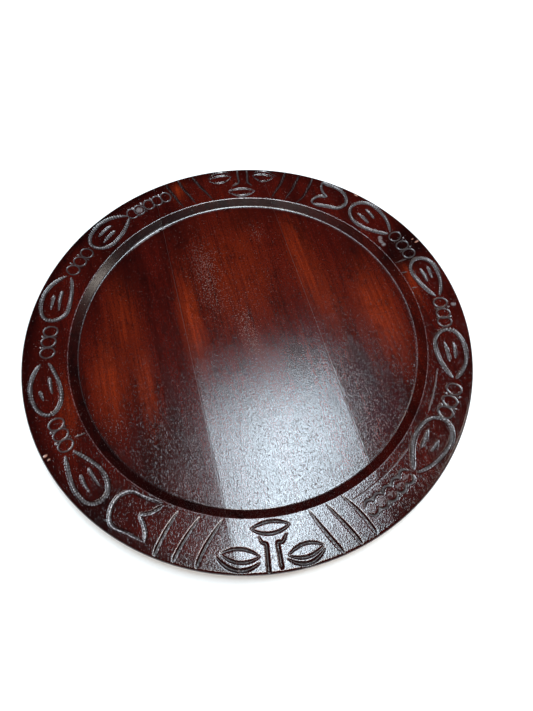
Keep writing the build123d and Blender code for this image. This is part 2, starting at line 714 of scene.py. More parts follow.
CRESCENT = dict(width=3.9 * MM, depth=1.1 * MM, taper=(0.06, 0.06), chatter=0.35, painted_glint=0.9)
CRESCENT_POINT = dict(width=3.2 * MM, depth=1.0 * MM, taper=(0.25, 0.1), chatter=0.25, painted_glint=0.7)
FINE_CRESCENT = dict(width=3.1 * MM, depth=1.0 * MM, taper=(0.2, 0.1), chatter=0.12, painted_glint=0.4, painted_edge_glint=1.0, dulled=0.0)
CRESCENTS = (
    Line(
        (
            (64.9, 0.987), (61.5, 0.986), (58.3, 0.979), (56.0, 0.955),
            (54.8, 0.91), (56.1, 0.864), (59.3, 0.849), (64.3, 0.829),
        ),
        **CRESCENT,
    ),
    Line(((64.3, 0.829), (65.3, 0.852), (64.0, 0.89), (61.2, 0.906)), **CRESCENT_POINT),
    Line(((64.9, 0.986), (64.2, 0.95), (62.9, 0.922), (61.2, 0.906)), **CRESCENT_POINT),
    Line(
        (
            (244.0, 0.968), (239.5, 0.967), (235.2, 0.973), (233.0, 0.935),
            (232.4, 0.88), (234.2, 0.835), (238.0, 0.826), (243.9, 0.813),
        ),
        **FINE_CRESCENT,
    ),
    Line(((244.0, 0.967), (243.2, 0.938), (241.8, 0.912), (239.6, 0.888)), **FINE_CRESCENT),
    Line(((244.0, 0.818), (242.9, 0.845), (241.6, 0.869), (239.6, 0.888)), **FINE_CRESCENT),
)

NOSE = dict(width=3.0 * MM, depth=1.4 * MM, profile=Profile.VEE)
NEAR_FACE = (
    Bow((260.4, 0.947), (270.5, 0.962), 0.99, 3.0 * MM, 1.4 * MM),
    Almond((261.3, 0.936), (270.5, 0.942), (0.9625, 0.914), 2.5 * MM, 1.3 * MM),
    Almond((276.9, 0.95), (285.5, 0.9455), (0.969, 0.921), 2.5 * MM, 1.3 * MM),
    Bow((276.6, 0.96), (285.5, 0.957), 0.992, 3.0 * MM, 1.4 * MM),
    Almond((268.3, 0.8415), (278.8, 0.839), (0.863, 0.818), 2.6 * MM, 1.3 * MM),
    Line(
        ((272.25, 1.0), (272.2, 0.95), (272.1, 0.9), (271.1, 0.893), (270.4, 0.868)),
        taper=(0.02, 0.35), **NOSE,
    ),
    Line(
        ((275.1, 0.996), (275.05, 0.95), (274.95, 0.9), (276.2, 0.897), (277.5, 0.868)),
        taper=(0.1, 0.3), **NOSE,
    ),
)

FAR_NOSE = dict(width=2.4 * MM, depth=0.9 * MM, taper=(0.1, 0.3), painted_glint=0.2)
FAR_FACE = (
    Bow((79.2, 0.96), (86.6, 0.972), 0.994, painted_glint=0.24),
    Almond((80.0, 0.955), (86.8, 0.9585), (0.967, 0.921), painted_glint=0.24),
    Almond((93.3, 0.955), (101.0, 0.9465), (0.966, 0.918), painted_glint=0.24),
    Bow((93.5, 0.975), (101.0, 0.957), 0.994, painted_glint=0.24),
    Almond((85.5, 0.852), (95.2, 0.852), (0.8665, 0.8195), 2.3 * MM, painted_glint=0.24),
    Line(((88.6, 0.996), (88.4, 0.95), (88.3, 0.915), (87.6, 0.9), (86.8, 0.888)), **FAR_NOSE),
    Line(((91.5, 0.998), (91.4, 0.95), (91.3, 0.912), (92.3, 0.898), (93.6, 0.886)), **FAR_NOSE),
)

SCORE = dict(width=0.9 * MM, depth=0.2 * MM, taper=(0.1, 0.1), painted_glint=0.12)
NICK = dict(width=1.3 * MM, depth=0.4 * MM, painted_glint=0.05)
SCORES = (
    Line(((296.8, 0.842), (304.0, 0.842), (311.0, 0.842), (318.5, 0.842)), **SCORE),
    Line(((331.8, 0.846), (339.0, 0.846), (346.0, 0.846)), **SCORE),
    Line(((15.3, 0.835), (15.5, 0.81)), **NICK),
    Line(((21.8, 0.835), (22.2, 0.805)), **NICK),
    Line(((26.2, 0.873), (26.6, 0.815)), **NICK),
    Line(((211.3, 0.856), (212.0, 0.808)), **NICK),
)


@dataclass(frozen=True)
class Patch:
    """A soft-edged patch on the tray's top, in plan: where it is, its size along the grain."""

    x: float
    y: float
    along: float
    across: float
    strength: float = 1.0
    lean: float = 12.7

    def share_at(self, places: np.ndarray) -> np.ndarray:
        """The patch's share at plan places, a bell of the distance over its half sizes."""
        lean = math.radians(self.lean)
        grain = np.array([-math.sin(lean), math.cos(lean)])
        side = np.array([grain[1], -grain[0]])
        away = places - np.array([self.x, self.y])
        bell = (away @ grain / self.along) ** 2 + (away @ side / self.across) ** 2
        return self.strength * np.exp(-bell)


WARM_PATCHES = (
    Patch(-8 * MM, 60 * MM, 62 * MM, 34 * MM, 0.5),
    Patch(-45 * MM, 16 * MM, 36 * MM, 7 * MM, 1.2),
    Patch(45 * MM, 78 * MM, 38 * MM, 8 * MM, 0.8),
    Patch(66 * MM, 36 * MM, 50 * MM, 13 * MM, 0.5),
    Patch(107 * MM, 20 * MM, 44 * MM, 15 * MM, 1.0),
    Patch(-100 * MM, 20 * MM, 38 * MM, 12 * MM, 0.6),
    Patch(-106 * MM, -36 * MM, 32 * MM, 12 * MM, 0.9),
    Patch(-77 * MM, -44 * MM, 36 * MM, 7 * MM, 0.8),
    Patch(-134 * MM, -58 * MM, 26 * MM, 6 * MM, 0.6),
    Patch(-60 * MM, 153 * MM, 12 * MM, 6 * MM, 0.9),
    Patch(135 * MM, 50 * MM, 24 * MM, 5 * MM, 0.7),
)

SHADE_PATCHES = (
    Patch(-100 * MM, 62 * MM, 30 * MM, 14 * MM, 0.5),
    Patch(-60 * MM, 102 * MM, 24 * MM, 12 * MM, 0.35),
    Patch(88 * MM, 82 * MM, 26 * MM, 12 * MM, 0.4),
    Patch(10 * MM, 122 * MM, 12 * MM, 50 * MM, 0.35),
    Patch(84 * MM, -22 * MM, 34 * MM, 9 * MM, 0.55),
    Patch(112 * MM, -50 * MM, 30 * MM, 12 * MM, 0.5),
    Patch(-66 * MM, -94 * MM, 34 * MM, 22 * MM, 0.75),
    Patch(134 * MM, 80 * MM, 20 * MM, 15 * MM, 1.7, -28.0),
    Patch(-122 * MM, 98 * MM, 34 * MM, 22 * MM, 0.5),
    Patch(-84 * MM, 128 * MM, 22 * MM, 16 * MM, 0.45),
    Patch(-98 * MM, -124 * MM, 15 * MM, 13 * MM, 0.8),
    Patch(-158 * MM, -20 * MM, 40 * MM, 9 * MM, 0.4),
)


PITTED_PATCH = Patch(14 * MM, -104 * MM, 64 * MM, 64 * MM)

DUSTY_PATCHES = (
    Patch(0.0, 4 * MM, 22 * MM, 8 * MM, 1.0),
    Patch(-36 * MM, 72 * MM, 26 * MM, 13 * MM, 0.8),
    Patch(-30 * MM, 38 * MM, 24 * MM, 10 * MM, 0.5),
    Patch(10 * MM, 104 * MM, 10 * MM, 6 * MM, 0.7),
    Patch(-2 * MM, 30 * MM, 60 * MM, 60 * MM, 0.3),
)


@dataclass(frozen=True)
class Chip:
    """A knocked spot on the rim: its middle in degrees and share, its half sizes, its depth."""

    degrees: float
    share: float
    across: float
    outwards: float
    depth: float

    def share_at(self, places: np.ndarray, radius: float) -> np.ndarray:
        """A steep-sided bell of the distance over the half sizes, one at the middle."""
        middle = on_rim(np.array([self.degrees]), np.array([self.share]), radius)[0]
        out = middle / np.linalg.norm(middle)
        away = places - middle
        off = (away @ np.array([-out[1], out[0]]) / self.across) ** 2 + (away @ out / self.outwards) ** 2
        return np.clip(1.3 - off, 0, 1)


RAW_CHIPS = (
    Chip(29.9, 0.985, 0.7 * MM, 2.4 * MM, 0.4 * MM),
    Chip(31.2, 0.976, 0.4 * MM, 1.2 * MM, 0.3 * MM),
    Chip(53.7, 0.994, 1.9 * MM, 0.8 * MM, 0.3 * MM),
    Chip(211.6, 0.988, 0.9 * MM, 1.7 * MM, 0.4 * MM),
    Chip(212.9, 0.983, 0.6 * MM, 1.2 * MM, 0.3 * MM),
)

PALE_CHIPS = (
    Chip(7.2, 0.969, 1.7 * MM, 2.1 * MM, 0.5 * MM),
    Chip(37.6, 0.850, 1.9 * MM, 2.2 * MM, 0.4 * MM),
    Chip(36.4, 0.838, 2.6 * MM, 1.8 * MM, 0.4 * MM),
    Chip(34.9, 0.835, 1.7 * MM, 2.0 * MM, 0.4 * MM),
    Chip(125.4, 0.915, 2.9 * MM, 3.3 * MM, 0.2 * MM),
)


# Finishes


Feed = bpy.types.NodeSocket | float | tuple[float, ...]


@dataclass
class Wiring:
    """A node tree being wired, with short ways to add and join its nodes."""

    tree: bpy.types.NodeTree

    def node(self, kind: str, **settings: object) -> bpy.types.Node:
        """A new node of a kind, with its own settings."""
        made = self.tree.nodes.new(kind)
        for name, value in settings.items():
            setattr(made, name, value)
        return made

    def plug(self, socket: bpy.types.NodeSocket, value: Feed) -> None:
        """Joins an input to another node's output, or gives it a plain value."""
        if isinstance(value, bpy.types.NodeSocket):
            self.tree.links.new(value, socket)
        else:
            socket.default_value = value

    def math(self, step: str, *values: Feed, clamp: bool = False) -> bpy.types.NodeSocket:
        """The result of one step of arithmetic on one, two or three values."""
        made = self.node("ShaderNodeMath", operation=step, use_clamp=clamp)
        for socket, value in zip(made.inputs, values):
            self.plug(socket, value)
        return made.outputs[0]

    def band(self, value: Feed, low: float, high: float, to: tuple[float, float] = (0, 1)) -> bpy.types.NodeSocket:
        """A value eased from one end of to at low to the other at high, and held beyond."""
        made = self.node("ShaderNodeMapRange", interpolation_type="SMOOTHSTEP")
        for name, part in (("Value", value), ("From Min", low), ("From Max", high), ("To Min", to[0]), ("To Max", to[1])):
            self.plug(made.inputs[name], part)
        return made.outputs["Result"]

    def blend(self, share: Feed, one: Feed, other: Feed) -> bpy.types.NodeSocket:
        """A colour between two, by a share."""
        made = self.node("ShaderNodeMix", data_type="RGBA")
        for index, value in ((0, share), (6, one), (7, other)):
            self.plug(made.inputs[index], value)
        return made.outputs[2]

    def placed(self, vector: Feed, size: tuple[float, float, float], turn: float = 0.0, shift: float = 0.0) -> bpy.types.NodeSocket:
        """Coordinates turned about the upright and counted in steps of size, with a shift."""
        made = self.node("ShaderNodeMapping", vector_type="TEXTURE")
        self.plug(made.inputs["Vector"], vector)
        made.inputs["Location"].default_value = (shift, -shift, shift / 2)
        made.inputs["Rotation"].default_value = (0, 0, turn)
        made.inputs["Scale"].default_value = size
        return made.outputs[0]

    def noise(self, vector: Feed, detail: float = 2.0, rough: float = 0.5, bend: float = 0.0) -> bpy.types.NodeSocket:
        """Smooth noise of one step, from 0 to 1."""
        made = self.node("ShaderNodeTexNoise")
        self.plug(made.inputs["Vector"], vector)
        for name, value in (("Scale", 1.0), ("Detail", detail), ("Roughness", rough), ("Distortion", bend)):
            made.inputs[name].default_value = value
        return made.outputs["Fac"]

    def painted(self, name: str) -> bpy.types.NodeSocket:
        """A value that the mesh carries at its points."""
        return self.node("ShaderNodeAttribute", attribute_name=name).outputs["Fac"]


def effect(name: str, inputs: dict[str, float | None], outputs: Sequence[str]) -> tuple[Wiring, bpy.types.Node, bpy.types.Node]:
    """An empty node group with named inputs and outputs.

    Args:
        name: the group's name.
        inputs: each input's name and its starting value, or None for a vector.
        outputs: the names of the values that it gives.

    Returns:
        The wiring, the group's input node and its output node.
    """
    tree = bpy.data.node_groups.new(name, "ShaderNodeTree")
    for title, value in inputs.items():
        kind = "NodeSocketVector" if value is None else "NodeSocketFloat"
        socket = tree.interface.new_socket(title, in_out="INPUT", socket_type=kind)
        if value is not None:
            socket.default_value = value
    for title in outputs:
        tree.interface.new_socket(title, in_out="OUTPUT", socket_type="NodeSocketFloat")
    wiring = Wiring(tree)
    return wiring, wiring.node("NodeGroupInput"), wiring.node("NodeGroupOutput")


GRAIN_LEAN = math.radians(12.7)


def grain_effect() -> bpy.types.NodeTree:
    """The wood's grain: broad figure, streaks, fibres and open pores along the board's length.

    Each is noise on coordinates stretched along the grain; a pore is where the finest noise
    passes a threshold.
    """
    w, given, out = effect("wood_grain", {"Place": None, "Shift": 0.0, "Pore Share": 0.6}, ("Figure", "Streaks", "Fibres", "Pores"))
    moved = w.node("ShaderNodeVectorMath", operation="ADD")
    w.plug(moved.inputs[0], given.outputs["Place"])
    spread = w.node("ShaderNodeCombineXYZ")
    for socket in spread.inputs:
        w.plug(socket, given.outputs["Shift"])
    w.plug(moved.inputs[1], spread.outputs[0])
    place = moved.outputs[0]
    figure = w.noise(w.placed(place, (0.017, 0.16, 0.05), GRAIN_LEAN), 3.0, 0.55, 0.6)
    w.plug(out.inputs["Figure"], w.band(figure, 0.36, 0.66))
    streaks = w.noise(w.placed(place, (0.0022, 0.05, 0.02), GRAIN_LEAN), 3.0, 0.6, 0.3)
    w.plug(out.inputs["Streaks"], w.band(streaks, 0.3, 0.7))
    fibres = w.noise(w.placed(place, (0.0008, 0.006, 0.004), GRAIN_LEAN), 2.0, 0.6)
    w.plug(out.inputs["Fibres"], w.band(fibres, 0.3, 0.7))
    pores = w.noise(w.placed(place, (0.0006, 0.0028, 0.0015), GRAIN_LEAN), 2.0, 0.6)
    edge = w.math("ADD", given.outputs["Pore Share"], 0.09)
    mask = w.node("ShaderNodeMapRange", interpolation_type="SMOOTHSTEP")
    for name, part in (("Value", pores), ("From Min", given.outputs["Pore Share"]), ("From Max", edge)):
        w.plug(mask.inputs[name], part)
    w.plug(out.inputs["Pores"], mask.outputs["Result"])
    return w.tree


def turning_effect() -> bpy.types.NodeTree:
    """The lathe's fine rings: noise of the distance from the axis alone, finest plus broad."""
    w, given, out = effect("lathe_rings", {"Place": None, "Pitch": 0.0012}, ("Height",))
    flat = w.node("ShaderNodeVectorMath", operation="MULTIPLY")
    w.plug(flat.inputs[0], given.outputs["Place"])
    flat.inputs[1].default_value = (1, 1, 0)
    length = w.node("ShaderNodeVectorMath", operation="LENGTH")
    w.plug(length.inputs[0], flat.outputs[0])
    steps = w.math("DIVIDE", length.outputs["Value"], given.outputs["Pitch"])
    rings = w.node("ShaderNodeTexNoise", noise_dimensions="1D")
    w.plug(rings.inputs["W"], steps)
    for name, value in (("Scale", 1.0), ("Detail", 2.0), ("Roughness", 0.6)):
        rings.inputs[name].default_value = value
    w.plug(out.inputs["Height"], rings.outputs["Fac"])
    return w.tree


def varnish_effect() -> bpy.types.NodeTree:
    """The varnish's skin: soft brush ripple, grit caught in it, and duller clouds."""
    w, given, out = effect("varnish_skin", {"Place": None, "Dust": 0.0}, ("Ripple", "Grit", "Clouds", "Stains", "Specks"))
    place = given.outputs["Place"]
    w.plug(out.inputs["Ripple"], w.noise(w.placed(place, (0.0035, 0.006, 0.006), GRAIN_LEAN), 3.0, 0.6))
    grit = w.noise(w.placed(place, (0.0008, 0.0014, 0.0009), GRAIN_LEAN), 2.0, 0.6)
    w.plug(out.inputs["Grit"], grit)
    w.plug(out.inputs["Clouds"], w.noise(w.placed(place, (0.03, 0.05, 0.03), GRAIN_LEAN), 3.0, 0.6))
    stains = w.noise(w.placed(place, (0.010, 0.016, 0.01), GRAIN_LEAN, 0.02), 4.0, 0.65)
    w.plug(out.inputs["Stains"], w.band(stains, 0.5, 0.72))
    specks = w.noise(w.placed(place, (0.0008, 0.0008, 0.0008), GRAIN_LEAN, 0.05), 1.0, 0.5)
    specks = w.math("MULTIPLY_ADD", given.outputs["Dust"], 0.13, specks)
    w.plug(out.inputs["Specks"], w.band(specks, 0.72, 0.8))
    return w.tree


@dataclass(frozen=True)
class Effects:
    """The node groups that the finishes share."""

    grain: bpy.types.NodeTree
    rings: bpy.types.NodeTree
    varnish: bpy.types.NodeTree

    @classmethod
    def built(cls) -> "Effects":
        """The groups, built once."""
        return cls(grain_effect(), turning_effect(), varnish_effect())


Colour = tuple[float, float, float, float]


@dataclass(frozen=True)
class VarnishedWood:
    """Stained hardwood under a brushed varnish, with painted shade in the cuts and painted glints where they chattered.

    The bow is the slope that the board took as it dried, to +X and +Y. It is far too small to see
    as a shape, but it moves the gloss.
    """

    name: str
    slot: str
    deep: Colour = (0.017, 0.0012, 0.0010, 1)
    middle: Colour = (0.060, 0.0040, 0.0021, 1)
    warm: Colour = (0.215, 0.021, 0.0042, 1)
    # The darkest stain, also the colour of the painted shade.
    dark: Colour = (0.006, 0.0006, 0.0006, 1)
    pore: Colour = (0.008, 0.001, 0.001, 1)
    speck: Colour = (0.30, 0.22, 0.20, 1)
    # Painted shade in the cuts.
    cut: Colour = (0.009, 0.0018, 0.0015, 1)
    # The painted glint colour.
    painted_glint_colour: Colour = (0.88, 0.84, 0.88, 1)
    raw: Colour = (0.36, 0.17, 0.12, 1)
    pale: Colour = (0.24, 0.22, 0.22, 1)
    gloss: float = 0.12
    shift: float = 0.0
    bow: tuple[float, float] = (0.0, 0.0)

    def colour(self, w: Wiring, grain: bpy.types.Node, skin: bpy.types.Node) -> Feed:
        """The colour: figure, warm streaks, stain and painted shade, pores, specks, painted shade and glints in cuts,
        chips.
        """
        streaks = grain.outputs["Streaks"]
        figure = w.math("MULTIPLY", grain.outputs["Figure"], 0.5)
        figure = w.math("MULTIPLY_ADD", streaks, 0.25, figure)
        figure = w.math("MULTIPLY_ADD", grain.outputs["Fibres"], 0.4, figure, clamp=True)
        warmth = w.math("MULTIPLY_ADD", streaks, 0.6, 0.4)
        warmth = w.math("MULTIPLY", w.painted("warmth"), warmth, clamp=True)
        # Darker stain with painted shade: darker patches and stain noise, the rim's dark edge, and painted shade on the
        # wall and where the field meets it.
        stain_and_painted_shade = w.math("MULTIPLY_ADD", skin.outputs["Stains"], 0.45, w.painted("stain_and_painted_shade"))
        stain_and_painted_shade = w.math("MULTIPLY", stain_and_painted_shade, 0.9, clamp=True)
        # Painted glints: the glint mark, broken up by grit, turns the colour towards the glint colour.
        sparkle = w.band(skin.outputs["Grit"], 0.42, 0.62, (0.05, 1.0))
        wear_and_painted_glint = w.math("POWER", w.painted("wear_and_painted_glint"), 1.4)
        wear_and_painted_glint = w.math("MULTIPLY", wear_and_painted_glint, sparkle, clamp=True)
        colour = w.blend(figure, self.deep, self.middle)
        colour = w.blend(warmth, colour, self.warm)
        mottle = w.band(skin.outputs["Grit"], 0.34, 0.62, (0.5, 0.0))
        colour = w.blend(mottle, colour, self.dark)
        colour = w.blend(stain_and_painted_shade, colour, self.dark)
        colour = w.blend(w.math("MULTIPLY", grain.outputs["Pores"], 0.7), colour, self.pore)
        colour = w.blend(w.math("MULTIPLY", skin.outputs["Specks"], 0.6), colour, self.speck)
        # Painted shade in the cuts, darker with their depth.
        colour = w.blend(w.math("MULTIPLY", w.painted("carved"), 0.93), colour, self.cut)
        colour = w.blend(wear_and_painted_glint, colour, self.painted_glint_colour)
        colour = w.blend(w.painted("pale"), colour, self.pale)
        return w.blend(w.painted("raw"), colour, self.raw)

    def roughness(self, w: Wiring, grain: bpy.types.Node, skin: bpy.types.Node) -> Feed:
        """The gloss: cloudy varnish, duller in cuts, chips and pores and on the underside."""
        dull = w.math("MULTIPLY_ADD", skin.outputs["Clouds"], 0.06, self.gloss - 0.03)
        bare = w.math("MAXIMUM", w.painted("raw"), w.painted("under"))
        dull = w.math("ADD", w.painted("dulled"), dull)
        dull = w.math("MULTIPLY_ADD", w.painted("wall"), 0.07, dull)
        pits = w.math("MULTIPLY_ADD", grain.outputs["Pores"], 0.9, w.band(skin.outputs["Grit"], 0.34, 0.44, (0.4, 0.0)))
        dull = w.math("MULTIPLY_ADD", w.painted("pitted"), pits, dull)
        dull = w.math("MULTIPLY_ADD", bare, 0.3, dull)
        return w.math("MULTIPLY_ADD", grain.outputs["Pores"], 0.08, dull, clamp=True)

    def relief(self, w: Wiring, place: Feed, grain: bpy.types.Node, skin: bpy.types.Node, rings: Feed) -> Feed:
        """The height of pores, lathe rings, ripple and grit, calmer on the wall, plus the bow."""
        fine = w.math("MULTIPLY", grain.outputs["Pores"], -0.00002)
        fine = w.math("MULTIPLY_ADD", rings, 0.000008, fine)
        fine = w.math("MULTIPLY_ADD", skin.outputs["Ripple"], 0.00005, fine)
        fine = w.math("MULTIPLY_ADD", skin.outputs["Grit"], 0.00012, fine)
        calm = w.math("MULTIPLY_ADD", w.painted("wall"), -0.92, 1.0)
        slope = w.node("ShaderNodeVectorMath", operation="DOT_PRODUCT")
        w.plug(slope.inputs[0], place)
        slope.inputs[1].default_value = (-self.bow[0], -self.bow[1], 0.0)
        return w.math("MULTIPLY_ADD", fine, calm, slope.outputs["Value"])

    def material(self, effects: Effects) -> bpy.types.Material:
        """The finish as a Blender material."""
        made = bpy.data.materials.new(self.name)
        made.use_nodes = True
        w = Wiring(made.node_tree)
        shader = made.node_tree.nodes["Principled BSDF"]
        place = w.node("ShaderNodeTexCoord").outputs["Object"]
        grain = w.node("ShaderNodeGroup", node_tree=effects.grain)
        rings = w.node("ShaderNodeGroup", node_tree=effects.rings)
        skin = w.node("ShaderNodeGroup", node_tree=effects.varnish)
        for group in (grain, rings, skin):
            w.plug(group.inputs["Place"], place)
        grain.inputs["Shift"].default_value = self.shift
        w.plug(skin.inputs["Dust"], w.painted("dust"))
        w.plug(shader.inputs["Base Color"], self.colour(w, grain, skin))
        w.plug(shader.inputs["Roughness"], self.roughness(w, grain, skin))
        bump = w.node("ShaderNodeBump")
        bump.inputs["Distance"].default_value = 1.0
        w.plug(bump.inputs["Height"], self.relief(w, place, grain, skin, rings.outputs["Height"]))
        w.plug(shader.inputs["Normal"], bump.outputs["Normal"])
        shader.inputs["IOR"].default_value = 1.52
        return made


@dataclass(frozen=True)
class DriedGlue:
    """Dark glue and varnish that fill a joint."""

    name: str = "dried_glue"
    slot: str = "dried_glue"
    colour: Colour = (0.022, 0.004, 0.003, 1)
    pale: Colour = (0.05, 0.02, 0.016, 1)

    def material(self, effects: Effects) -> bpy.types.Material:
        """The finish as a Blender material."""
        made = bpy.data.materials.new(self.name)
        made.use_nodes = True
        w = Wiring(made.node_tree)
        shader = made.node_tree.nodes["Principled BSDF"]
        skin = w.node("ShaderNodeGroup", node_tree=effects.varnish)
        w.plug(skin.inputs["Place"], w.node("ShaderNodeTexCoord").outputs["Object"])
        w.plug(shader.inputs["Base Color"], w.blend(skin.outputs["Clouds"], self.colour, self.pale))
        w.plug(shader.inputs["Roughness"], w.band(skin.outputs["Grit"], 0.3, 0.7, (0.3, 0.5)))
        return made


# The tray


@dataclass
class CarvedTop:
    """Everything that lowers or marks the top after it is turned."""

    form: TurnedForm
    joints: tuple[GlueJoint, ...]
    seed: int = 7
    edge_ease: float = 0.05 * MM
    edge_reach: float = 0.55 * MM
    arris_wear: float = 0.05 * MM

    def motifs(self) -> list[Motif]:
        """Every motif that the knife cut."""
        groups = (COWRIES, RING_CHAINS, GOUGES, CRESCENTS, NEAR_FACE, FAR_FACE, SCORES)
        return [motif for group in groups for motif in group]

    def knife(self, places: np.ndarray) -> np.ndarray:
        """The knife's depth, painted glint and dulling at plan places, each the most that any cut gives."""
        marks = np.zeros((3, len(places)))
        for motif in self.motifs():
            for cut in motif.cuts(self.form.carved_radius):
                marks = np.maximum(marks, cut.marks_at(places))
        return marks

    def ripple(self, turn: np.ndarray, waves: int, seed: int) -> np.ndarray:
        """A random closed wave round the tray, from -1 to 1, as a sum of cosines of its turns."""
        draw = np.random.default_rng(seed)
        counts = draw.integers(waves // 4, waves, 24)
        phases = draw.uniform(0, FULL_TURN, 24)
        wave = np.cos(turn[:, None] * counts + phases).sum(axis=1)
        return wave / 8

    def carve(self, mesh: bpy.types.Mesh) -> None:
        """Lowers a piece's points by the knife's depth and marks them for its finish.

        A point sinks along its own normal by the depth, where the surface looks up. The marks are
        the knife's share with its painted glints, bright lines at the lip and the wall's foot, the warm
        and darker patches with painted shade on the wall and where the field meets it, raw and pale
        chips and the underside.

        Args:
            mesh: the turned and cut piece, changed in place.
        """
        count = len(mesh.vertices)
        points, normals = np.zeros(count * 3, np.float32), np.zeros(count * 3, np.float32)
        mesh.vertices.foreach_get("co", points)
        mesh.vertex_normals.foreach_get("vector", normals)
        points = points.reshape(-1, 3).astype(float)
        normals = normals.reshape(-1, 3).astype(float)
        places = points[:, :2]
        out = np.linalg.norm(places, axis=1)
        turn = np.arctan2(places[:, 1], places[:, 0])
        form = self.form
        up = np.clip((points[:, 2] - (form.field_height - 1 * MM)) / (0.8 * MM), 0, 1)
        side = np.clip((points[:, 2] - 0.6 * form.thickness) / (0.3 * form.thickness), 0, 1)
        reach = np.where(out > form.radius - 2 * form.rim_edge_rounding, side, up)
        knife, wear_and_painted_glint, dulled = (values * reach for values in self.knife(places))
        deep = knife.copy()
        raw = np.zeros(count)
        pale = np.zeros(count)
        for chip in RAW_CHIPS:
            share = chip.share_at(places, form.carved_radius) * reach
            raw, deep = np.maximum(raw, share), np.maximum(deep, chip.depth * share)
        for chip in PALE_CHIPS:
            share = chip.share_at(places, form.carved_radius) * reach
            rough = 0.5 + 0.5 * self.ripple(turn * 4 + out * 900, 160, 3)
            pale, deep = np.maximum(pale, share * np.clip(rough, 0, 1)), deep + chip.depth * share * rough
        for spot, seed in ((form.lip, 11), (form.foot, 12), (form.radius, 13)):
            near = np.clip(1 - np.abs(out - spot) / (1.4 * MM), 0, 1)
            wear = self.arris_wear * np.clip(self.ripple(turn, 220, seed), 0, 1)
            deep = deep + near * wear * up
        for joint in self.joints:
            gap = np.abs(places @ joint.outwards - joint.offset)
            deep = deep + self.edge_ease * np.clip(1 - gap / self.edge_reach, 0, 1) * up
        sunk = points - normals * deep[:, None]
        mesh.vertices.foreach_set("co", sunk.astype(np.float32).ravel())
        mesh.update()
        warmth = sum(patch.share_at(places) for patch in WARM_PATCHES)
        stain_and_painted_shade = sum(patch.share_at(places) for patch in SHADE_PATCHES)
        # Darker towards the rim's outer edge, most on the left.
        rim_edge = np.clip((out / form.radius - 0.935) / 0.04, 0, 1) * (0.7 - 0.3 * np.cos(turn))
        wall = np.clip((form.lip + 0.2 * MM - out) / (0.8 * MM), 0, 1) * (out > form.foot - 0.6 * MM)
        # Painted shade on the wall, least on the +X side where the light falls, and painted shade on the field where it
        # meets the wall.
        lit_side = np.clip(np.cos(turn), 0, 1)
        field_edge = np.clip((out / form.foot - 0.95) / 0.05, 0, 1) * (out < form.foot)
        stain_and_painted_shade = stain_and_painted_shade + 0.8 * rim_edge + 0.35 * field_edge + wall * (0.85 - 0.8 * lit_side)
        # Bright lines in the glint mark: a worn line at the lip, and at the wall's foot a painted highlight, strongest
        # on the far side.
        away = np.clip(0.4 + 1.6 * np.sin(turn + 0.5), 0, 1)
        for spot, seed, strength in ((form.lip + 0.3 * MM, 21, 0.22), (form.foot - 0.5 * MM, 22, 0.3 * away)):
            line = np.clip(1 - np.abs(out - spot) / (0.55 * MM), 0, 1)
            broken = np.clip(0.85 + 0.4 * self.ripple(turn, 90, seed), 0, 1)
            wear_and_painted_glint = np.maximum(wear_and_painted_glint, strength * line * broken * up)
        filled = np.exp(-((np.degrees(turn) - 128.0) / 9.0) ** 4)
        crumbs = 0.7 + 1.2 * self.ripple(turn + 0.2 * np.sin(out * 4000), 260, 23)
        band = np.clip(1.4 - np.abs(out - form.foot + 0.3 * MM) / (1.1 * MM), 0, 1)
        pale = np.maximum(pale, filled * band * np.clip(crumbs, 0, 1) * up)
        marks = {
            # Painted shade in the cuts, by their depth.
            "carved": np.clip(knife / (0.3 * MM), 0, 1),
            "dulled": dulled,
            "pitted": PITTED_PATCH.share_at(places),
            "wear_and_painted_glint": wear_and_painted_glint,
            "dust": sum(patch.share_at(places) for patch in DUSTY_PATCHES),
            "warmth": warmth,
            "stain_and_painted_shade": stain_and_painted_shade,
            "raw": raw,
            "pale": pale,
            "wall": wall,
            "under": (points[:, 2] < 1 * MM).astype(float),
        }
        for name, values in marks.items():
            mark = mesh.attributes.new(name, "FLOAT", "POINT")
            mark.data.foreach_set("value", np.clip(values, 0, 1).astype(np.float32))


@dataclass
class Piece:
    """One board or glue line of the tray: the CAD node it stands for and how it is cut."""

    node: str
    cuts: tuple[Cut, ...]
    finish: VarnishedWood | DriedGlue

    def build(self, shell: Shell, top: CarvedTop, effects: Effects) -> bpy.types.Object:
        """Cuts the piece from the shell, carves it, dresses it and sets it on the frame."""
        eases = [
            Cut(tuple(joint.outwards), joint.offset + shift)
            for joint in top.joints
            for shift in (-top.edge_reach, top.edge_reach)
        ]
        mesh = cut_from(shell, self.node + "_carved", self.cuts, eases)
        top.carve(mesh)
        mesh.materials.append(self.finish.material(effects))
        made = bpy.data.objects.new(self.node + "_carved", mesh)
        bpy.context.scene.collection.objects.link(made)
        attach(made, "root")
        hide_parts(self.node)
        return made


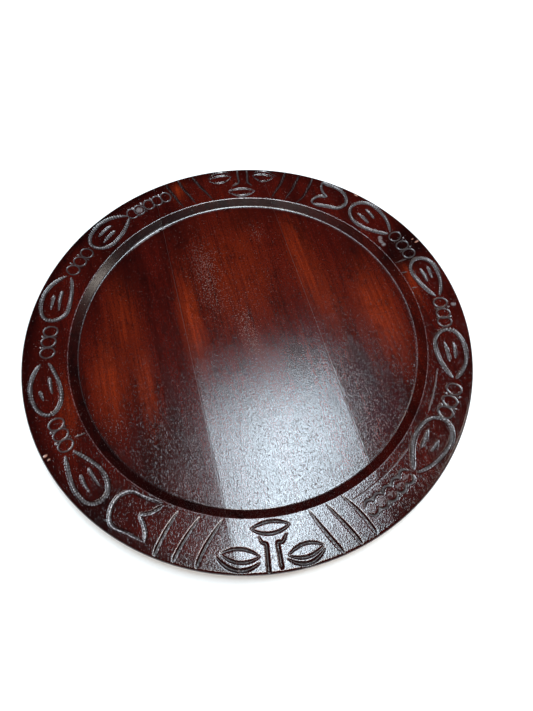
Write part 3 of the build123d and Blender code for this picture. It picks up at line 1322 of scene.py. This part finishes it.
@dataclass
class Tray:
    """The whole tray: three boards and the two glue lines between them."""

    form: TurnedForm = field(default_factory=TurnedForm)
    left: GlueJoint = GlueJoint(-1, 47.5 * MM, 12.0)
    right: GlueJoint = GlueJoint(1, 55.8 * MM, 13.5)
    glue: float = 0.2 * MM

    def pieces(self) -> list[Piece]:
        """Every piece with the cuts that part it from its neighbours."""

        def within(joint: GlueJoint, across: float) -> Cut:
            """Keeps what is nearer the middle board than a plane of the joint."""
            return Cut(tuple(joint.outwards), joint.offset + across)

        def beyond(joint: GlueJoint, across: float) -> Cut:
            """Keeps what is further from the middle board than a plane of the joint."""
            return Cut(tuple(-joint.outwards), -joint.offset - across)

        left, right, half = self.left, self.right, self.glue / 2
        woods = {
            "left": VarnishedWood("left_board_wood", "left_board_wood", gloss=0.13, bow=(-0.055, 0.0)),
            "middle": VarnishedWood("middle_board_wood", "middle_board_wood", shift=0.31, gloss=0.11),
            "right": VarnishedWood("right_board_wood", "right_board_wood", shift=0.67, bow=(0.045, 0.0)),
        }
        return [
            Piece("board_left", (beyond(left, half),), woods["left"]),
            Piece("glue_line_left", (within(left, half), beyond(left, -half)), DriedGlue()),
            Piece("board_middle", (within(left, -half), within(right, -half)), woods["middle"]),
            Piece("glue_line_right", (within(right, half), beyond(right, -half)), DriedGlue()),
            Piece("board_right", (beyond(right, half),), woods["right"]),
        ]

    def build(self) -> list[bpy.types.Object]:
        """Builds every piece in order."""
        effects = Effects.built()
        shell = turned_shell(self.form)
        top = CarvedTop(self.form, (self.left, self.right))
        made = []
        for piece in self.pieces():
            made.append(piece.build(shell, top, effects))
            mesh = made[-1].data
            triangles = len(mesh.loops) - 2 * len(mesh.polygons)
            log.info("%s: %d points, %d triangles", made[-1].name, len(mesh.vertices), triangles)
        return made


# The studio


@dataclass(frozen=True)
class SoftLight:
    """A rectangular area light, aimed at a place and turned about its own axis."""

    name: str
    place: tuple[float, float, float]
    aim: tuple[float, float, float]
    width: float
    height: float
    power: float
    colour: tuple[float, float, float] = (1.0, 1.0, 1.0)
    turn: float = 0.0

    def hang(self) -> bpy.types.Object:
        """Puts the light in the scene."""
        data = bpy.data.lights.new(self.name, "AREA")
        data.shape, data.size, data.size_y = "RECTANGLE", self.width, self.height
        data.energy, data.color = self.power, self.colour
        made = bpy.data.objects.new(self.name, data)
        made.location = self.place
        look = Vector(self.aim) - Vector(self.place)
        made.rotation_mode = "QUATERNION"
        about = Quaternion((0, 0, 1), math.radians(self.turn))
        made.rotation_quaternion = look.to_track_quat("-Z", "Y") @ about
        bpy.context.scene.collection.objects.link(made)
        return made


@dataclass(frozen=True)
class Viewpoint:
    """The camera: where it stands over the rim's centre and where that centre is seen.

    Pixels are those of a picture of 533 by 711.
    """

    rim_height: float = 20.0 * MM
    distance: float = 415.9 * MM
    elevation: float = 61.81
    roll: float = -2.05
    focal_pixels: float = 530.0
    picture: tuple[float, float] = (533.0, 711.0)
    centre_pixel: tuple[float, float] = (248.8, 334.7)
    sensor: float = 36.0

    def place(self) -> bpy.types.Object:
        """Puts the camera in the scene and makes it the scene's own.

        It looks at the rim's centre, turns about that line by the roll, and swings so that the
        centre falls on its pixel: a pixel (u, v) lies along ((u - w/2) / f, -(v - h/2) / f, -1).
        """
        data = bpy.data.cameras.new("camera")
        data.sensor_fit = "AUTO"
        data.sensor_width = self.sensor
        data.lens = self.focal_pixels / self.picture[1] * self.sensor
        data.dof.use_dof = False
        data.clip_start = 0.01
        made = bpy.data.objects.new("camera", data)
        rise = math.radians(self.elevation)
        target = Vector((0, 0, self.rim_height))
        away = Vector((0, -math.cos(rise), math.sin(rise)))
        made.location = target + away * self.distance
        look = (-away).to_track_quat("-Z", "Y")
        u, v = self.centre_pixel
        across, up = u - self.picture[0] / 2, self.picture[1] / 2 - v
        seen = Vector((across, up, -self.focal_pixels)).normalized()
        swing = seen.rotation_difference(Vector((0, 0, -1)))
        made.rotation_mode = "QUATERNION"
        made.rotation_quaternion = look @ Quaternion((0, 0, 1), math.radians(self.roll)) @ swing
        bpy.context.scene.collection.objects.link(made)
        bpy.context.scene.camera = made
        return made


@dataclass(frozen=True)
class Studio:
    """A pale floor, soft lights and the camera."""

    floor_size: float = 4.0
    floor_colour: Colour = (0.97, 0.95, 0.93, 1)
    world: Colour = (0.01, 0.01, 0.01, 1)

    def lights(self) -> tuple[SoftLight, ...]:
        """The lights: a bright long one overhead behind the middle, two smaller ones overhead, a wide fill overhead in
        front and one at the right.
        """
        tray = (0.0, 0.0, 0.02)
        over, beside, before = (0.126, 0.175), (-0.065, 0.38), (0.0, -0.38)
        cool = (0.83, 1.0, 1.12)
        return (
            SoftLight("key_light", (*over, 1.5), (*over, 0.0), 0.21, 0.76, 19.4, cool, -12.0),
            SoftLight("low_key", (0.035, -0.11, 1.5), (0.035, -0.11, 0.0), 0.24, 0.2, 3.4, cool, -12.0),
            SoftLight("beside_key", (*beside, 1.5), (*beside, 0.0), 0.20, 0.32, 2.7, cool, -12.0),
            SoftLight("fill_light", (*before, 1.5), (*before, 0.0), 0.6, 0.18, 12.0, (1.0, 0.95, 0.9)),
            SoftLight("right_light", (1.18, 0.1, 1.1), tray, 0.22, 0.4, 3.6, (1.0, 0.93, 0.84)),
        )

    def floor(self) -> bpy.types.Object:
        """The floor, a flat square just under the tray."""
        half = self.floor_size / 2
        corners = np.array([[-half, -half, 0], [half, -half, 0], [half, half, 0], [-half, half, 0]])
        made = bpy.data.objects.new("floor", mesh_of("floor", corners, [np.array([[0, 1, 2, 3]])]))
        paint = bpy.data.materials.new("pale_floor")
        paint.use_nodes = True
        shader = paint.node_tree.nodes["Principled BSDF"]
        shader.inputs["Base Color"].default_value = self.floor_colour
        shader.inputs["Roughness"].default_value = 0.9
        made.data.materials.append(paint)
        bpy.context.scene.collection.objects.link(made)
        return made

    def build(self) -> None:
        """Sets the floor, lights, surroundings, tones and camera."""
        self.floor()
        for light in self.lights():
            light.hang()
        world = bpy.data.worlds.new("surroundings")
        world.use_nodes = True
        world.node_tree.nodes["Background"].inputs["Color"].default_value = self.world
        bpy.context.scene.world = world
        bpy.context.scene.view_settings.view_transform = "Standard"
        Viewpoint().place()


def main() -> None:
    """Builds the tray and the studio round it."""
    Tray().build()
    Studio().build()


if __name__ == "__main__":
    logging.basicConfig(level=logging.INFO, format="%(name)s: %(message)s")
    main()
